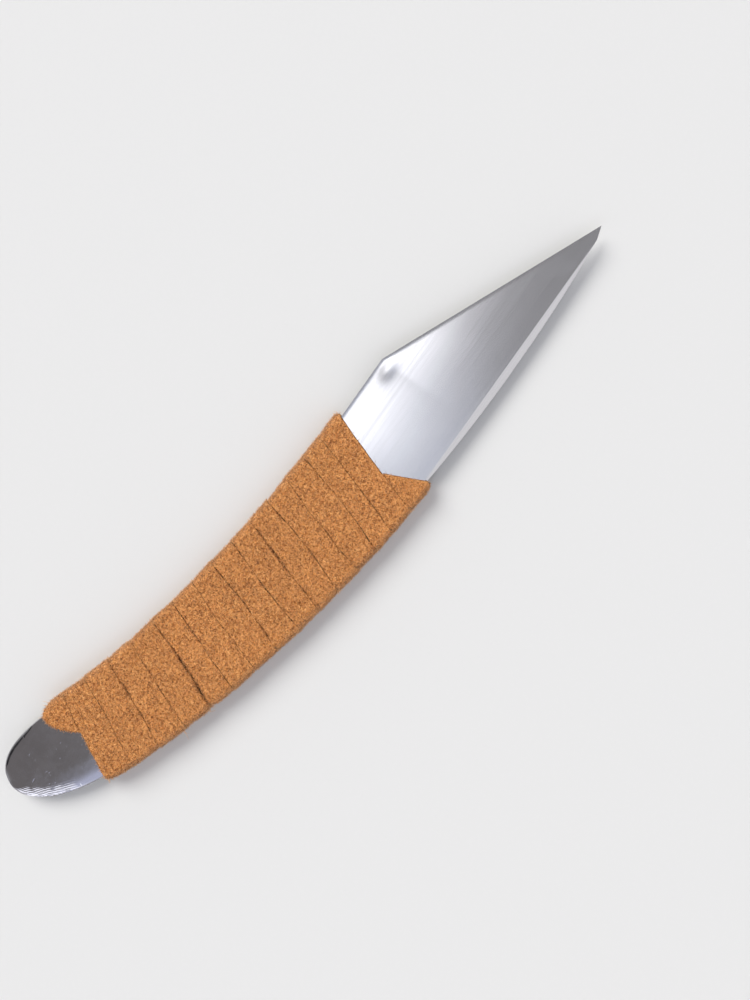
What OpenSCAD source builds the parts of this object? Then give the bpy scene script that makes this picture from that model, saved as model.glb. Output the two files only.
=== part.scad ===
// Chip carving knife: blade, tang and butt forged as one curved laminated bar,
// with the tang wound in one strip of suede.
// The tip points along +X, the cutting edge faces +Y and the hollow-ground face looks along +Z.
// The knife lies on the flat underside of its wrap, at Z = 0.

/* [Bar] */
// Thickness of the forged bar
bar_t = 3.0; // [2:0.1:5]
// Width of the bar where the wrap starts
bar_w = 25.8; // [20:0.2:34]
// Width of the bar where the round butt starts
butt_w = 20.6; // [15:0.2:26]
// Length of the tang along its centreline, from the start of the wrap to the end of the butt
tang_len = 121.4; // [100:1:160]
// Length of the round end of the butt
round_len = 23.4; // [14:0.2:30]
// How square the round end is: 2 is an ellipse, more is squarer
round_power = 2.3; // [2:0.1:4]

/* [Bend of the tang] */
// Tilt of the tang where it leaves the blade, in degrees
tang_tilt = 2.2; // [0:0.1:5]
// Radius of the bend nearest the blade
bend_near_r = 354; // [200:1:600]
// Length of the bend nearest the blade
bend_near_len = 70; // [40:1:90]
// Radius of the bend nearer the butt
bend_far_r = 233; // [120:1:500]
// Radius of the bend of the bare butt
bend_butt_r = 115; // [60:1:400]

/* [Blade] */
// Length of the blade from its tip to the heel of the cutting edge
blade_len = 56.6; // [45:0.2:75]
// Length of the straight side from the heel to the wrap
heel_len = 17.4; // [8:0.2:30]
// Radius of the arched spine
spine_r = 400; // [300:5:600]
// Distance behind the tip of the lowest point of the spine
spine_low = 40; // [25:1:50]
// How far the spine's lowest point lies below the tip
spine_drop = 2.8; // [1.5:0.1:5]
// Length of the small slanted facet at the tip
tip_facet_len = 3.5; // [1:0.1:8]
// Angle of the cutting bevel to the flat face, in degrees
bevel_angle = 23.5; // [15:0.5:35]
// Thickness left at the keen edge
edge_land = 0.1; // [0.05:0.01:0.3]
// Slope of the flat ground along the spine, in degrees
spine_flat_angle = 28; // [15:1:45]
// Width of that flat where it goes under the wrap
spine_flat_w = 0.5; // [0.2:0.1:1.5]
// Thickness of the hard steel layer
hard_t = 0.9; // [0.5:0.05:1.5]
// How far the hard steel reaches back under the wrap
hard_reach = 12; // [4:0.5:30]
// Slope of the scarf that ends the hard steel layer, in degrees
scarf_angle = 20; // [10:1:45]

/* [Hollow of the flat face] */
// Greatest depth of the hollow
hollow_depth = 0.3; // [0.1:0.05:0.5]
// Width of the flat rim left along the cutting edge and the straight side
rim_w = 0.7; // [0.4:0.1:2]
// Length of the flat left whole behind the tip
tip_flat_len = 11; // [6:0.5:18]
// Radius of the rounded end of the hollow
hollow_end_r = 9; // [6:0.5:14]

/* [Wrap] */
// Thickness of the suede
leather_t = 1.45; // [0.8:0.05:2.5]
// Width of the strip
strip_w = 7; // [5:0.1:10]
// Length of the wrap along the centreline, between its first and last seam
wrap_len = 98; // [70:1:110]
// Gap between neighbouring turns
turn_gap = 0.16; // [0.1:0.02:0.5]
// How far the first seam runs back across the face
first_lean = 7.2; // [3:0.1:10]
// How far the last seams run back across the face
last_lean = 2.3; // [0.5:0.1:5]
// Number of turns over which the lean settles
lean_turns = 4; // [1:0.5:10]
// Gap between the suede and the narrow sides of the tang, and its inner corner radius
side_gap = 0.3; // [0.2:0.05:0.5]
// Where across the face, from the edge side, the cut start of the strip comes to its point
start_point = 0.64; // [0.5:0.01:0.75]
// Where across the face, from the edge side, the cut end of the strip comes to its point
end_point = 0.41; // [0.3:0.01:0.48]
// Where across the face the blunt corner of the cut end lies
end_corner = 0.1; // [0.05:0.01:0.2]
// How far the cut end of the strip reaches past the last seam
end_reach = 7.6; // [3:0.1:9]

/* [Hidden] */

$fn = 96;
big = 60;                       // larger than any cut needs to be
point_w = 0.3;                  // width of the strip at its cut points
corner_step = 30;               // turn of one facet where the suede goes round an edge
edge_step = 2;                  // spacing of the points along the tang's edges
end_steps = 14;                 // points round a quarter of the butt
hollow_steps = 24;              // flats across the hollow

base_z = leather_t;             // underside of the bar
face_z = leather_t + bar_t;     // flat face of the bar
mid_z = leather_t + bar_t / 2;
round_from = tang_len - round_len;

// The spine is one arc; the tang's centreline starts where its lower side leaves that arc.
spine_centre = [-spine_low, spine_r - spine_drop];
function spine_y(x) = spine_centre.y - sqrt(pow(spine_r, 2) - pow(x - spine_centre.x, 2));

start_x = -(blade_len + heel_len);
start_low_x = start_x - bar_w / 2 * sin(tang_tilt);
tang_start = [start_x, spine_y(start_low_x) + bar_w / 2 * cos(tang_tilt)];
heel = [-blade_len, tang_start.y + bar_w / 2];
edge_angle = atan2(heel.y, blade_len);

// The tang's centreline is three arcs. s is the distance along it from the start of the wrap.
function turned(length, radius) = length / radius * 180 / PI;
function along_arc(from, tilt, radius, length) =
    let (end_tilt = tilt + turned(length, radius))
    from + radius * [sin(tilt) - sin(end_tilt), cos(tilt) - cos(end_tilt)];

tilt_far = tang_tilt + turned(bend_near_len, bend_near_r);
tilt_butt = tilt_far + turned(round_from - bend_near_len, bend_far_r);
far_start = along_arc(tang_start, tang_tilt, bend_near_r, bend_near_len);
butt_start = along_arc(far_start, tilt_far, bend_far_r, round_from - bend_near_len);

function tilt_at(s) =
    s < bend_near_len ? tang_tilt + turned(s, bend_near_r) :
    s < round_from ? tilt_far + turned(s - bend_near_len, bend_far_r) :
    tilt_butt + turned(s - round_from, bend_butt_r);
function centre_at(s) =
    s < bend_near_len ? along_arc(tang_start, tang_tilt, bend_near_r, s) :
    s < round_from ? along_arc(far_start, tilt_far, bend_far_r, s - bend_near_len) :
    along_arc(butt_start, tilt_butt, bend_butt_r, s - round_from);
// Half the tang's width: an even taper, then the round end.
function half_at(s) =
    s < round_from ? bar_w / 2 + (butt_w - bar_w) / 2 * s / round_from :
    butt_w / 2 * pow(1 - pow(min(1, (s - round_from) / round_len), round_power), 1 / round_power);
// A point beside the centreline: n is positive towards the cutting edge.
function beside(s, n) = centre_at(s) + n * [sin(tilt_at(s)), cos(tilt_at(s))];

// Distances of the tang's edge points, closer together round the butt.
edge_s = concat(
    [for (s = [0 : edge_step : round_from - edge_step / 2]) s],
    [for (i = [0 : end_steps]) round_from + round_len * pow(sin(90 * i / end_steps), 2 / round_power)]);
// Outline of the whole bar: tip, heel, edge side of the tang, round butt, spine side and spine.
spine_from = start_low_x + edge_step;
spine_steps = ceil((-tip_facet_len - spine_from) / edge_step);
spine_step = (-tip_facet_len - spine_from) / spine_steps;
bar_points = concat(
    [[0, 0], heel],
    [for (s = edge_s) beside(s, half_at(s))],
    [for (i = [len(edge_s) - 2 : -1 : 0]) beside(edge_s[i], -half_at(edge_s[i]))],
    [for (i = [0 : spine_steps]) let (x = spine_from + i * spine_step) [x, spine_y(x)]]);

// Seams of the wrap: seam i crosses the edge side at seam_high and the spine side at seam_low.
turns = round(wrap_len / strip_w);
pitch = wrap_len / turns;
hand_shift = [0, 0.7, 0, 0, 0.1, -0.2, -0.5, -0.2, -0.4, -0.4, -0.6, -0.3, 0.3, 0.8, 0.5];
function lean(i) = last_lean + (first_lean - last_lean) * exp(-i / lean_turns);
function seam_high(i) = i * pitch + hand_shift[i % len(hand_shift)];
function seam_low(i) = seam_high(i) + lean(i);

// One turn round the tang, from the edge side over the face, the spine side and the underside.
// Each step is [share of the half width, +1 face or -1 underside, direction outwards,
// share of the way over the face, share of the way over the underside].
face_shares = [0, end_corner, end_point, start_point, (1 + start_point) / 2, 1];
start_step = 3;
end_step = 2;
turn_steps = concat(
    [for (f = face_shares) [1 - 2 * f, 1, 90, f, 0]],
    [for (a = [corner_step : corner_step : 90]) [-1, 1, 90 + a, 1, 0]],
    [for (a = [0 : corner_step : 90]) [-1, -1, 180 + a, 1, 0]],
    [for (g = [0.25 : 0.25 : 1]) [2 * g - 1, -1, 270, 1, g]],
    [for (a = [corner_step : corner_step : 90]) [1, -1, 270 + a, 1, 1]],
    [for (a = [0 : corner_step : 90 - corner_step]) [1, 1, 360 + a, 1, 1]]);
step_count = len(turn_steps);

function seam_at(i, step) =
    seam_high(i) + lean(i) * step[3] + (seam_high(i + 1) - seam_low(i)) * step[4];
// The strip's edge on the blade side; before the first turn it is the slanted cut of its start.
function blade_edge(i, step) =
    i >= 0 ? seam_at(i, step) + turn_gap / 2 :
    let (share = (step[3] - start_point) / (1 - start_point),
         point = seam_at(0, turn_steps[start_step]) - turn_gap / 2 - point_w)
    point * (1 - share);
// The strip's edge on the butt side; in the last turn it leads out to the slanted cut of its end.
function butt_edge(i, step) =
    i < turns - 1 || (i == turns - 1 && step[2] <= 90) ? seam_at(i + 1, step) - turn_gap / 2 :
    i == turns - 1 ? seam_low(turns) + (seam_high(turns) + end_reach - seam_low(turns)) * step[4] :
    let (share = max(0, (step[3] - end_corner) / (end_point - end_corner)),
         point = seam_at(turns, turn_steps[end_step]) + turn_gap / 2 + point_w)
    (seam_high(turns) + end_reach) * (1 - share) + point * share;

function strip_point(s, step, depth) =
    let (reach = side_gap + depth,
         place = beside(s, step[0] * half_at(s) + reach * cos(step[2])))
    [place.x, place.y, mid_z + step[1] * (bar_t / 2 - side_gap) + reach * sin(step[2])];
// The four corners of the strip's section at one step.
function strip_section(i, step) =
    let (front = blade_edge(i, step), back = butt_edge(i, step))
    [strip_point(front, step, 0), strip_point(back, step, 0),
     strip_point(back, step, leather_t), strip_point(front, step, leather_t)];

section_first = start_step - step_count;
section_last = turns * step_count + end_step;
strip_points = [
    for (k = [section_first : section_last])
        let (i = floor(k / step_count))
            each strip_section(i, turn_steps[k - i * step_count])];
section_count = section_last - section_first + 1;
// Two triangles on each of the four sides between one section and the next, and two on each end.
strip_faces = concat(
    [[0, 2, 1], [0, 3, 2]],
    [for (k = [0 : section_count - 2], c = [0 : 3], half = [0, 1])
        let (a = 4 * k + c, b = 4 * k + (c + 1) % 4)
            half == 0 ? [a, b, b + 4] : [a, b + 4, a + 4]],
    let (e = 4 * (section_count - 1)) [[e, e + 1, e + 2], [e, e + 2, e + 3]]);

// Middle of the whole knife, which becomes the origin.
outline_xs = [for (p = concat(bar_points, strip_points)) p.x];
outline_ys = [for (p = concat(bar_points, strip_points)) p.y];
middle = [(min(outline_xs) + max(outline_xs)) / 2, (min(outline_ys) + max(outline_ys)) / 2, 0];

// Everything below the ground cutting bevel.
module bevel_waste() {
    translate([0, 0, face_z - edge_land])
        rotate([0, 0, 180 - edge_angle])
            rotate([-bevel_angle, 0, 0])
                translate([-big, -big / 2, -big])
                    cube([blade_len + 2 * big, big * 2, big]);
}

// Everything outside the flat ground along the spine.
module spine_waste() {
    facet_end = [-tip_facet_len, spine_y(-tip_facet_len)];
    wrap_end = [start_low_x, spine_y(start_low_x) + spine_flat_w];
    run = facet_end - wrap_end;
    translate([wrap_end.x, wrap_end.y, face_z])
        rotate([0, 0, atan2(run.y, run.x)])
            rotate([spine_flat_angle, 0, 0])
                translate([-2 * hard_reach, -big, 0])
                    cube([2 * big + 2 * hard_reach, big, big]);
}

// The shallow hollow ground into the flat face, inside its rims and its rounded end.
module hollow_waste() {
    rim_heel = heel + [-rim_w * tan(edge_angle / 2), -rim_w];
    low_y = spine_y(start_low_x) + spine_flat_w;
    centre_y = (low_y + rim_heel.y) / 2;
    half_chord = (rim_heel.y - low_y) / 2;
    end_x = -tip_flat_len - hollow_end_r;
    end_y = (low_y - end_x * tan(edge_angle)) / 2;
    back_x = start_x - hard_reach / 2;
    intersection() {
        translate([0, 0, base_z]) linear_extrude(big) intersection() {
            polygon([rim_heel, [back_x - 1, rim_heel.y], [back_x - 1, low_y], [0, low_y],
                     rim_heel + blade_len * [1, -tan(edge_angle)]]);
            union() {
                translate([end_x, end_y]) circle(r = hollow_end_r);
                translate([back_x, -big]) square([end_x - back_x, 2 * big]);
            }
        }
        translate([back_x - 1, centre_y, face_z])
            rotate([90, 0, 90])
                linear_extrude(blade_len + heel_len + big)
                    polygon(concat([[half_chord, 1], [-half_chord, 1]],
                        [for (t = [-1 : 2 / hollow_steps : 1])
                            [t * half_chord, hollow_depth * (pow(t, 2) - 1)]]));
    }
}

// The whole forged and ground bar, before it is split into its two metals.
module ground_bar() {
    difference() {
        translate([0, 0, base_z]) linear_extrude(bar_t) polygon(bar_points);
        bevel_waste();
        spine_waste();
        hollow_waste();
    }
}

// The space that the hard steel takes up: the top of the blade, back to the scarf.
module hard_zone() {
    weld_z = face_z - hard_t;
    end_x = start_x - hard_reach;
    rise = hard_t + 1;
    translate([0, big, 0])
        rotate([90, 0, 0])
            linear_extrude(2 * big)
                polygon([[end_x, weld_z], [big, weld_z], [big, weld_z + rise],
                         [end_x - rise / tan(scarf_angle), weld_z + rise]]);
}

// Soft iron: the back of the blade, the tang and the butt in one piece.
module iron_body() {
    color("silver") translate(-middle) difference() {
        ground_bar();
        hard_zone();
    }
}

// Hard steel: the layer forge-welded to the blade's flat face, which carries the edge.
module hard_steel() {
    color("gainsboro") translate(-middle) intersection() {
        ground_bar();
        hard_zone();
    }
}

// Suede: one strip wound edge to edge round the tang, cut to a point at both ends.
module leather_strip() {
    color("peru") translate(-middle) polyhedron(points = strip_points, faces = strip_faces);
}

iron_body();
hard_steel();
leather_strip();
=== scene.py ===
from math import atan2, cos, pi, radians, sin, tan

import bmesh
import bpy
import numpy as np
from bpy.props import FloatProperty, FloatVectorProperty, IntProperty, PointerProperty
from bpy.types import Operator, Panel, PropertyGroup
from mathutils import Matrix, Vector, noise


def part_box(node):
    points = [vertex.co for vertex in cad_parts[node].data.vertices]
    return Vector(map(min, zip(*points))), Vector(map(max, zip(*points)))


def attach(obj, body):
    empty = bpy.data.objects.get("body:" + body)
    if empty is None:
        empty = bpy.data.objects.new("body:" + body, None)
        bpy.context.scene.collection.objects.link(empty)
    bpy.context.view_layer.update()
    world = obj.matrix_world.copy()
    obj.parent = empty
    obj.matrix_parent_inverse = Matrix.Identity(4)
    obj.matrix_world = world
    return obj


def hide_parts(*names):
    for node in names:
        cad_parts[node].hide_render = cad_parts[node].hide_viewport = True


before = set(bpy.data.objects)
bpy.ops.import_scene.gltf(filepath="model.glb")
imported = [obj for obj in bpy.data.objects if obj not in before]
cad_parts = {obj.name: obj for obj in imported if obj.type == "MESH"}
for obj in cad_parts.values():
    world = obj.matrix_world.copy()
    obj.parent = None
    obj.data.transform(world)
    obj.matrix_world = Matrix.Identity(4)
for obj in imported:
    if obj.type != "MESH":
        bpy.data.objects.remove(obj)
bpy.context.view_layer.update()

bl_info = {
    "name": "Carving Knife",
    "version": (1, 0, 0),
    "blender": (4, 5, 0),
    "location": "3D View > Sidebar > Knife",
    "description": "Builds a laminated carving knife with a suede-wound grip, and a plain stage for it",
    "category": "Add Mesh",
}

MM = 0.001
STEEL_LOW, STEEL_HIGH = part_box("iron_body")
TIP_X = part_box("hard_steel")[1].x
BASE_Z, FACE_Z = STEEL_LOW.z, STEEL_HIGH.z


# ---------------------------------------------------------------- sizes and colours


def length(name, default, description):
    """A size in metres, shown with its unit."""
    return FloatProperty(
        name=name, description=description, default=default, min=0.0, unit="LENGTH", precision=5
    )


def share(name, default, description):
    """A plain factor from 0 to 1."""
    return FloatProperty(
        name=name, description=description, default=default, min=0.0, max=1.0, subtype="FACTOR"
    )


def angle(name, default, description):
    """An angle, given here in degrees."""
    return FloatProperty(
        name=name, description=description, default=radians(default), subtype="ANGLE"
    )


def colour(name, default, description):
    """A linear colour."""
    return FloatVectorProperty(
        name=name, description=description, default=default, size=3, min=0.0, max=1.0, subtype="COLOR"
    )


class KnifeBarSizes(PropertyGroup):
    """Sizes of the soft iron bar behind the blade"""

    start_width: length("Width at the wrap", 25.8 * MM, "Width of the bar where the wrap starts")
    butt_width: length("Width at the butt", 20.6 * MM, "Width of the bar where its round end starts")
    tang_length: length("Tang length", 121.4 * MM, "Length of the tang along its centreline")
    round_length: length("Round end", 23.4 * MM, "Length of the round end of the butt")
    round_power: FloatProperty(
        name="Round end power", description="2 is an ellipse, more is squarer", default=2.3
    )
    tilt: angle("Tang tilt", 2.2, "Tilt of the tang where it leaves the blade")
    near_radius: length("Near bend", 354 * MM, "Radius of the bend nearest the blade")
    near_length: length("Near bend length", 70 * MM, "Length of the bend nearest the blade")
    far_radius: length("Far bend", 233 * MM, "Radius of the bend nearer the butt")
    butt_radius: length("Butt bend", 115 * MM, "Radius of the bend of the bare butt")
    edge_break: length("Edge break", 0.14 * MM, "How far the bar's sharp edges are eased")
    butt_rounding: length("Butt rounding", 3.2 * MM, "Width of the polished-over border of the butt")
    butt_drop: length("Butt drop", 0.3 * MM, "How far that border falls away")
    butt_dome: length("Butt dome", 0.24 * MM, "How far the butt's middle stands above its border")


class KnifeBladeSizes(PropertyGroup):
    """Sizes of the blade and the hard steel layer"""

    blade_length: length("Blade length", 56.6 * MM, "Length from the tip to the heel of the edge")
    heel_length: length("Heel length", 17.4 * MM, "Length of the straight side behind the heel")
    spine_radius: length("Spine radius", 400 * MM, "Radius of the arched spine")
    spine_low: length("Spine low point", 40 * MM, "Distance of the spine's lowest point from the tip")
    spine_drop: length("Spine drop", 2.8 * MM, "How far that point lies below the tip")
    tip_facet: length("Tip facet", 3.5 * MM, "Length of the small slanted facet at the tip")
    bevel: angle("Bevel", 23.5, "Angle of the cutting bevel to the flat face")
    edge_land: length("Edge land", 0.1 * MM, "Thickness left at the keen edge")
    spine_flat: angle("Spine flat", 28, "Slope of the flat ground along the spine")
    spine_flat_width: length("Spine flat width", 0.5 * MM, "Width of that flat at the wrap")
    hard_thickness: length("Hard steel", 0.9 * MM, "Thickness of the hard steel layer")
    hard_reach: length("Hard steel reach", 12 * MM, "How far it reaches back under the wrap")
    scarf: angle("Scarf", 20, "Slope of the scarf that ends the hard steel layer")
    hollow_depth: length("Hollow depth", 0.3 * MM, "Greatest depth of the hollow in the flat face")
    hollow_slope: share("Hollow end slope", 0.016, "Rise of the hollow towards its rounded end")
    rim: length("Rim", 0.7 * MM, "Width of the flat rim left beside the edge")
    tip_flat: length("Tip flat", 11 * MM, "Length of the flat left whole behind the tip")
    hollow_end_radius: length("Hollow end", 9 * MM, "Radius of the hollow's rounded end")
    rim_slope: angle("Rim slope", 2.0, "How far the rim beside the edge leans outwards")
    weld_wave: length("Weld wave", 0.07 * MM, "How far the weld line wanders up and down")
    heel_dip: length("Heel dip", 0.08 * MM, "Depth of the thumb-sized dip beside the heel")


class KnifeWrapSizes(PropertyGroup):
    """Sizes of the suede strip, its seams and its nap"""

    thickness: length("Suede thickness", 1.45 * MM, "Thickness of the suede")
    strip_width: length("Strip width", 7 * MM, "Width of the strip")
    wrap_length: length("Wrap length", 98 * MM, "Length between the first and the last seam")
    first_lean: length("First lean", 7.2 * MM, "How far the first seam runs back across the face")
    last_lean: length("Last lean", 2.3 * MM, "How far the last seams run back across the face")
    lean_turns: FloatProperty(name="Lean turns", description="Turns for the lean to settle", default=4)
    side_gap: length("Side gap", 0.3 * MM, "Gap between the suede and the narrow sides of the tang")
    seam_press: length("Seam press", 0.03 * MM, "How far turns press into each other where a seam is shut")
    start_point: share("Start point", 0.64, "Where across the face the strip's start is pointed")
    end_point: share("End point", 0.41, "Where across the face the strip's end is pointed")
    end_corner: share("End corner", 0.1, "Where across the face the end's blunt corner lies")
    end_reach: length("End reach", 7.6 * MM, "How far the strip's end reaches past the last seam")
    edge_round: length("Edge rounding", 0.38 * MM, "How far the strip's cut edges are rounded by wear")
    crown: length("Crown", 0.12 * MM, "How much lower each turn is at its edges than in its middle")
    lump: length("Lumps", 0.24 * MM, "Depth of the hollows in the nap")
    seam_bow: length("Seam bow", 0.5 * MM, "How far a seam bows as it crosses the face")
    seam_wobble: length("Seam wobble", 0.24 * MM, "How far a seam wanders from its bow")
    slack: length("Slack", 0.07 * MM, "How much looser or tighter a turn lies on the narrow sides")
    askew: length("Askew", 0.15 * MM, "How far a turn leans outwards on the narrow sides")
    nap_density: FloatProperty(
        name="Nap density", description="Fibres on each square metre in each layer", default=3.4e6
    )
    nap_length: length("Nap length", 0.72 * MM, "Length of the raised fibres")
    nap_layers: IntProperty(name="Nap layers", description="How many layers of fibres", default=5)
    nap_seed: IntProperty(name="Nap seed", description="Seed for the fibres' places", default=7)


class KnifeFinish(PropertyGroup):
    """Colours of the steel, the suede, the glue and the floor"""

    hard_colour: colour("Hard steel", (0.60, 0.59, 0.60), "Colour of the ground hard steel")
    iron_colour: colour("Soft iron", (0.50, 0.49, 0.50), "Colour of the ground soft iron")
    suede_colour: colour("Suede", (0.75, 0.31, 0.085), "Main colour of the suede")
    # Painted shade: this colour darkens the hollows of the nap.
    suede_pit_shade: colour("Suede pits", (0.28, 0.088, 0.020), "Colour of the pits in the nap")
    suede_light: colour("Suede fibres", (0.92, 0.50, 0.20), "Colour of the raised fibres")
    # Partly glue stain and partly painted shade on the strip's cut edges and in the seams.
    suede_cut_stain_and_shade: colour("Cut edge", (0.20, 0.07, 0.022), "Colour of the strip's glue-stained cut edges")
    # Painted rim light, not wear: these two colours pale the suede and its fibres where they face aside.
    suede_rim_light: colour("Worn suede", (0.66, 0.46, 0.27), "Colour of the suede where hands rub it")
    fibre_rim_light: colour("Worn fibres", (0.76, 0.56, 0.36), "Colour of the fibres where hands rub them")
    glue_colour: colour("Dried glue", (0.028, 0.014, 0.007), "Colour of the glue film on hidden steel")
    floor_colour: colour("Floor", (0.70, 0.70, 0.69), "Colour of the floor")


# Each seam's own shift where it crosses the edge side, as the strip was laid by hand.
HAND_SHIFT = MM * np.array(
    [0, 0.7, 0, 0, 0.1, -0.2, -0.5, -0.2, -0.4, -0.4, -0.6, -0.3, 0.3, 0.8, 0.5]
)
# How far each seam gapes, from hardly at all to the one wide-open seam.
SEAM_OPEN = MM * np.array(
    [0.04, 0.06, 0.10, 0.08, 0.12, 0.22, 0.10, 0.16, 0.02, 0.14, 0.50, 0.03, 0.24, 0.03, 0.03]
)


def arc(tilt, radius, run):
    """The move along an arc that starts out along -X, tilted towards +Y."""
    end = tilt + run / radius
    return radius * np.stack([np.sin(tilt) - np.sin(end), np.cos(tilt) - np.cos(end)], -1)


class BarPlan:
    """The bar seen from above, in the knife's frame: the blade's lines and the tang's curve.

    s is a distance along the tang's centreline from the start of the wrap, n a distance beside
    it, positive towards the cutting edge, and p holds plan points (x, y).
    """

    def __init__(self, bar, blade):
        self.bar, self.blade = bar, blade
        self.tip = np.array([TIP_X, STEEL_LOW.y + blade.spine_drop])
        self.spine_centre = self.tip + [-blade.spine_low, blade.spine_radius - blade.spine_drop]
        self.round_from = bar.tang_length - bar.round_length
        start_x = self.tip[0] - blade.blade_length - blade.heel_length
        self.low_start_x = start_x - bar.start_width / 2 * sin(bar.tilt)
        start_y = self.spine_y(self.low_start_x) + bar.start_width / 2 * cos(bar.tilt)
        self.start = np.array([start_x, start_y])
        self.heel = np.array([self.tip[0] - blade.blade_length, start_y + bar.start_width / 2])
        run = self.heel - self.tip
        self.edge_angle = atan2(run[1], -run[0])
        self.far_tilt = bar.tilt + bar.near_length / bar.near_radius
        self.butt_tilt = self.far_tilt + (self.round_from - bar.near_length) / bar.far_radius

    def spine_y(self, x):
        """The arched spine."""
        c = self.spine_centre
        return c[1] - np.sqrt(self.blade.spine_radius**2 - (x - c[0]) ** 2)

    def runs(self, s):
        """How much of the distance s lies on each of the tang's three arcs."""
        b = self.bar
        far = np.clip(s - b.near_length, 0, self.round_from - b.near_length)
        return np.minimum(s, b.near_length), far, np.maximum(s - self.round_from, 0)

    def tilt_at(self, s):
        """Direction of the tang's centreline at the distance s from the start of the wrap."""
        near, far, butt = self.runs(s)
        b = self.bar
        return b.tilt + near / b.near_radius + far / b.far_radius + butt / b.butt_radius

    def centre_at(self, s):
        """Point on the tang's centreline."""
        near, far, butt = self.runs(s)
        b = self.bar
        return (
            self.start
            + arc(b.tilt, b.near_radius, near)
            + arc(self.far_tilt, b.far_radius, far)
            + arc(self.butt_tilt, b.butt_radius, butt)
        )

    def half_at(self, s):
        """Half the tang's width: an even taper, then the round end."""
        b = self.bar
        taper = b.start_width / 2 + (b.butt_width - b.start_width) / 2 * s / self.round_from
        into = np.clip((s - self.round_from) / b.round_length, 0, 1)
        end = b.butt_width / 2 * (1 - into**b.round_power) ** (1 / b.round_power)
        return np.where(s < self.round_from, taper, end)

    def beside(self, s, n):
        """Point at the distance n from the centreline, positive towards the cutting edge."""
        t = self.tilt_at(s)
        n = np.asarray(n)[..., None]
        return self.centre_at(s) + n * np.stack([np.sin(t), np.cos(t)], -1)

    def from_edge(self, p):
        """Distance of plan points from the line of the cutting edge."""
        d = p - self.tip
        return -(d[..., 0] * sin(self.edge_angle) + d[..., 1] * cos(self.edge_angle))

    def bevel_z(self, p):
        """Height of the plane of the cutting bevel."""
        return FACE_Z - self.blade.edge_land - self.from_edge(p) * tan(self.blade.bevel)

    def bevel_share(self, high, span, depth):
        """Share of the way across the blade at which the bevel lies at a depth below the face."""
        inset = (depth - self.blade.edge_land) / tan(self.blade.bevel)
        return np.clip((inset - self.from_edge(high)) / cos(self.edge_angle) / span, 0, 1)

    def spine_flat_line(self, x):
        """The straight line where the flat along the spine meets the face."""
        facet_x = self.tip[0] - self.blade.tip_facet
        facet_y = self.spine_y(facet_x)
        wrap_y = self.spine_y(self.low_start_x) + self.blade.spine_flat_width
        return facet_y + (wrap_y - facet_y) * (x - facet_x) / (self.low_start_x - facet_x)

    def blade_sides(self, x):
        """Edge-side and spine-side points of the blade at x."""
        slant = (self.tip[0] - x) * tan(self.edge_angle) + self.tip[1]
        back = self.beside(0.0, self.bar.start_width / 2)
        along = (self.heel[0] - x) / (self.heel[0] - back[0])
        side = self.heel[1] + (back[1] - self.heel[1]) * along
        facet_x = self.tip[0] - self.blade.tip_facet
        share_in = np.clip((self.tip[0] - x) / self.blade.tip_facet, 0, 1)
        facet = self.tip[1] + (self.spine_y(facet_x) - self.tip[1]) * share_in
        low = np.where(x > facet_x, facet, self.spine_y(x))
        return np.stack([x, np.minimum(slant, side)], -1), np.stack([x, low], -1)


# ---------------------------------------------------------------- mesh helpers


def ramp(value, start, end):
    """0 before a range, 1 after it and even in between; a range may also run downwards."""
    return np.clip((value - start) / (end - start), 0, 1)


def between(high, low, across):
    """Plan points at shares of the way from the edge side to the spine side of each section."""
    return high[:, None] + (low - high)[:, None] * across[..., None]


def raised(p, z):
    """Plan points together with their heights."""
    return np.concatenate([p, z[..., None]], -1)


def show(name, data):
    """Puts a mesh, a camera or a lamp in the scene as an object."""
    obj = bpy.data.objects.new(name, data)
    bpy.context.scene.collection.objects.link(obj)
    return obj


def wander(points, wavelength, seed):
    """Smooth noise from -1 to 1 at each point, with hills about one wavelength wide."""
    shift = Vector((seed * 17.3, seed * 5.1, seed * 9.7))
    return np.array([noise.noise(Vector(p) / wavelength + shift) for p in points])


def loft(name, rings):
    """A closed mesh object through rings of points, an array (rings, points, 3)."""
    count, size = rings.shape[:2]
    index = np.arange(count * size).reshape(count, size)
    a, b = index[:-1], index[1:]
    quads = np.stack([a, np.roll(a, -1, 1), np.roll(b, -1, 1), b], -1).reshape(-1, 4)
    faces = quads.tolist() + [index[0][::-1].tolist(), index[-1].tolist()]
    mesh = bpy.data.meshes.new(name)
    mesh.from_pydata(rings.reshape(-1, 3).tolist(), [], faces)
    return show(name, mesh)


def store(obj, name, values):
    """Keeps one number for each point of a mesh under a name."""
    layer = obj.data.attributes.new(name, "FLOAT", "POINT")
    layer.data.foreach_set("value", np.asarray(values).reshape(-1).astype(np.float32))


def clean(obj, merge=2e-6, crease=18):
    """Merges doubled points, turns the faces outwards and marks the sharp edges."""
    bm = bmesh.new()
    bm.from_mesh(obj.data)
    bmesh.ops.remove_doubles(bm, verts=bm.verts, dist=merge)
    bmesh.ops.dissolve_degenerate(bm, edges=bm.edges, dist=merge / 4)
    bmesh.ops.recalc_face_normals(bm, faces=bm.faces)
    bm.to_mesh(obj.data)
    bm.free()
    obj.data.shade_smooth()
    obj.data.set_sharp_from_angle(angle=radians(crease))


def face_outwards(mesh):
    """Turns every face of a closed mesh outwards."""
    bm = bmesh.new()
    bm.from_mesh(mesh)
    bmesh.ops.recalc_face_normals(bm, faces=bm.faces)
    bm.to_mesh(mesh)
    bm.free()


def settle(obj, node):
    """Hands a finished piece to the frame in place of its node."""
    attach(obj, "root")
    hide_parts(node)


# ---------------------------------------------------------------- steel


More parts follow.
